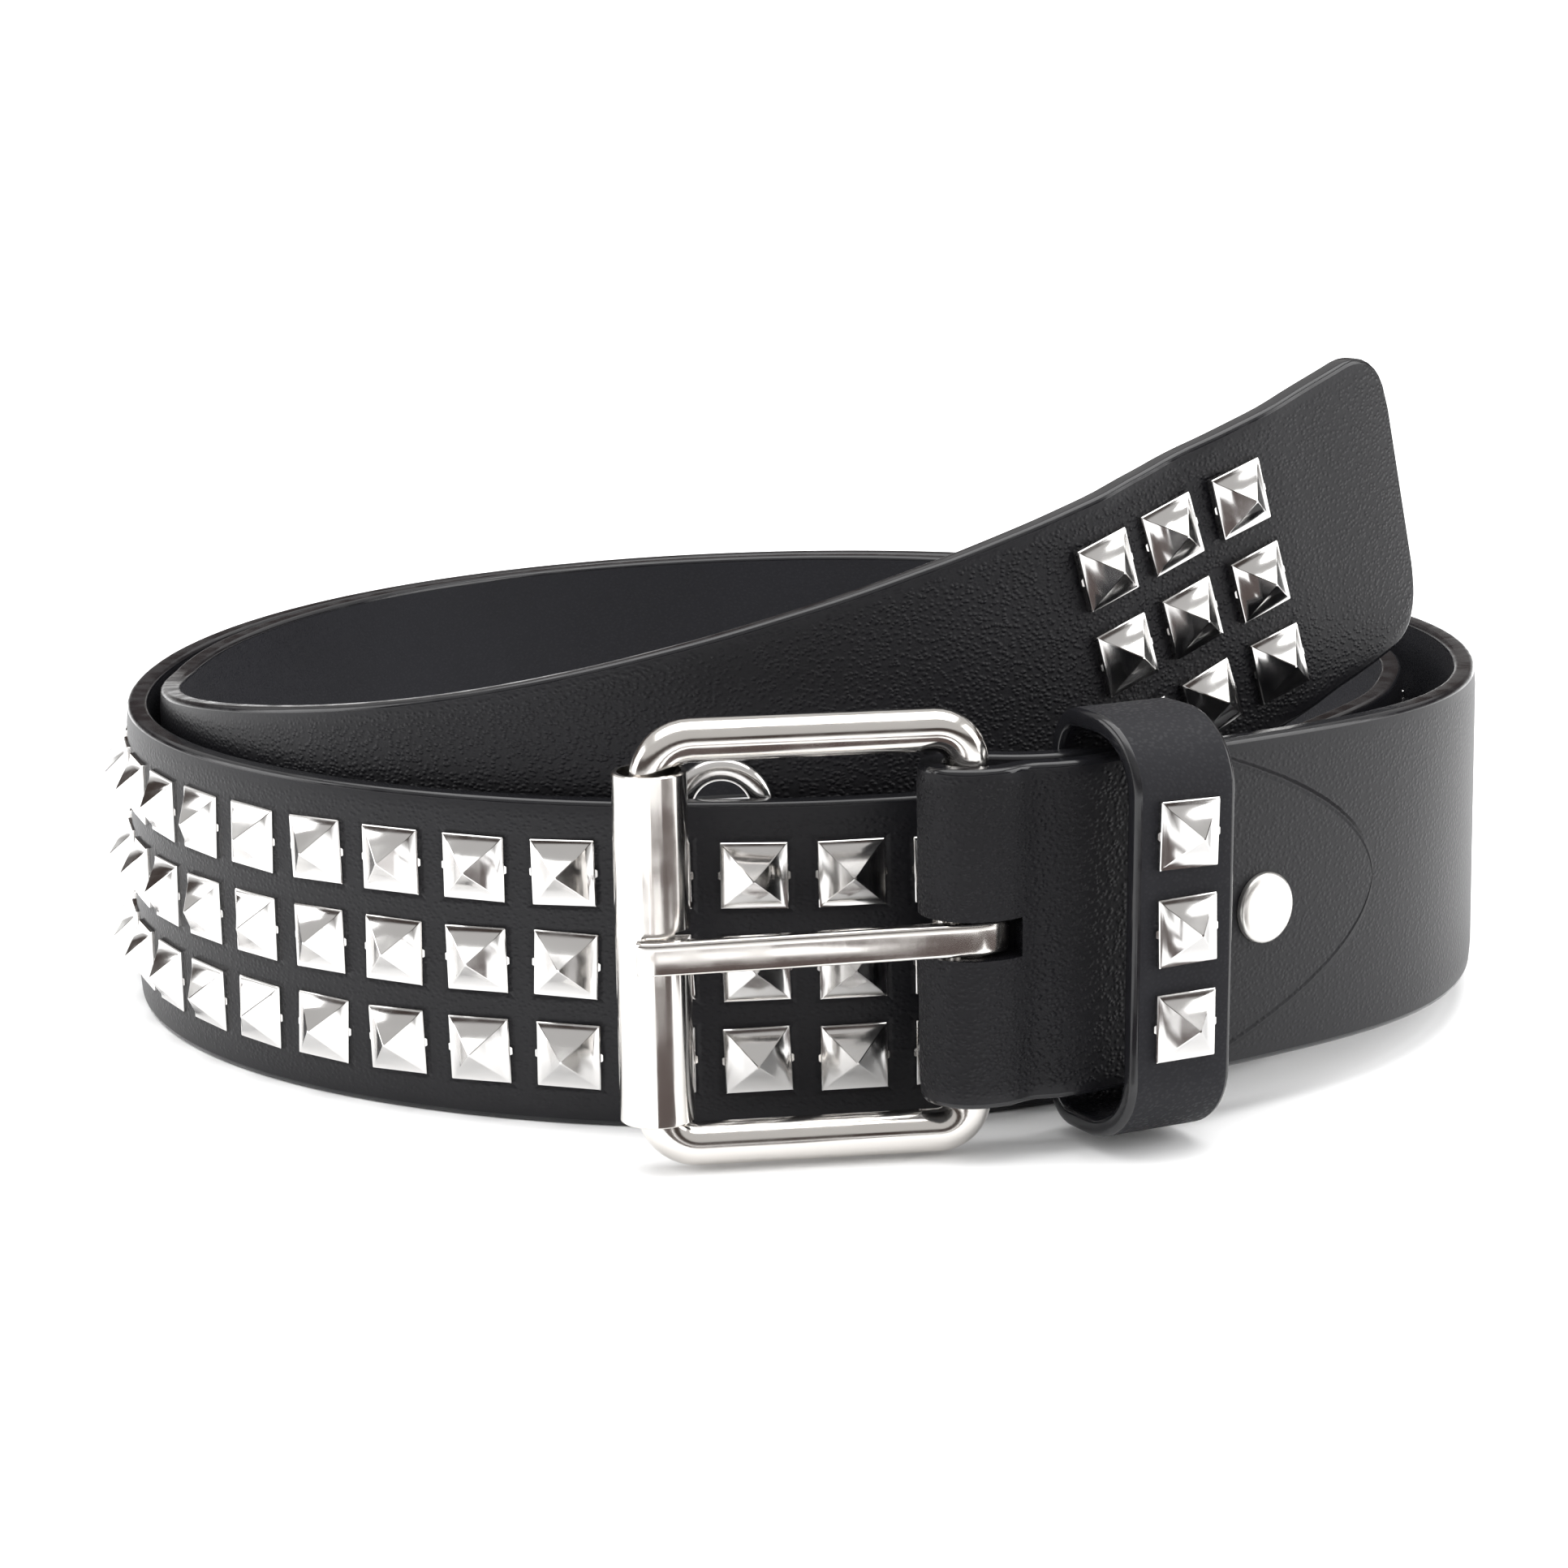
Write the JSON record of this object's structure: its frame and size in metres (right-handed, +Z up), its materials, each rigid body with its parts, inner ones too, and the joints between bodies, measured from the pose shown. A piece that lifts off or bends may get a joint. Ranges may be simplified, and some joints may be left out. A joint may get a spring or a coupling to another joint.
{
  "type": "studded belt",
  "caption": "Black leather belt with three rows of pyramid studs, a roller buckle with one prong, a studded keeper loop and an eyeletted free end, coiled on its edge.",
  "frame": {"origin": "middle of the coiled belt's plan, on the surface that it stands on", "axes": "+Z up along the strap's width; the buckle is on the -Y side and its front faces -Y; the free end rises towards +X"},
  "size_m": [0.1768, 0.202, 0.0813],
  "materials": {
    "leather": "black pebbled leather, satin",
    "nickel": "polished nickel plate"
  },
  "bodies": {
    "belt": {"strap": "leather", "keeper": "leather", "tip_stud_1_1": "nickel", "tip_stud_1_2": "nickel", "tip_stud_1_3": "nickel", "tip_stud_2_1": "nickel", "tip_stud_2_2": "nickel", "tip_stud_2_3": "nickel", "tip_stud_3_1": "nickel", "tip_stud_3_2": "nickel", "tip_stud_3_3": "nickel", "eyelet_1": "nickel", "eyelet_2": "nickel", "eyelet_3": "nickel", "eyelet_4": "nickel", "eyelet_5": "nickel", "keeper_stud_1": "nickel", "keeper_stud_2": "nickel", "keeper_stud_3": "nickel", "rivet": "nickel"},
    "buckle_frame": {"frame": "nickel"},
    "buckle_roller": {"roller": "nickel"},
    "buckle_prong": {"prong": "nickel"}
  },
  "joints": [
    {"name": "frame_swing", "type": "hinge", "parent": "belt", "child": "buckle_frame", "pos_m": [0.01966, -0.09041, 0.02558], "axis": [0, 0, 1], "range_deg": [-8, 30]},
    {"name": "prong_swing", "type": "hinge", "parent": "buckle_frame", "child": "buckle_prong", "pos_m": [0.01966, -0.09041, 0.02558], "axis": [0, 0, 1], "range_deg": [0, 70]},
    {"name": "roller_spin", "type": "hinge", "parent": "buckle_frame", "child": "buckle_roller", "pos_m": [-0.01468, -0.09467, 0.02558], "axis": [0, 0, 1], "continuous": true}
  ]
}
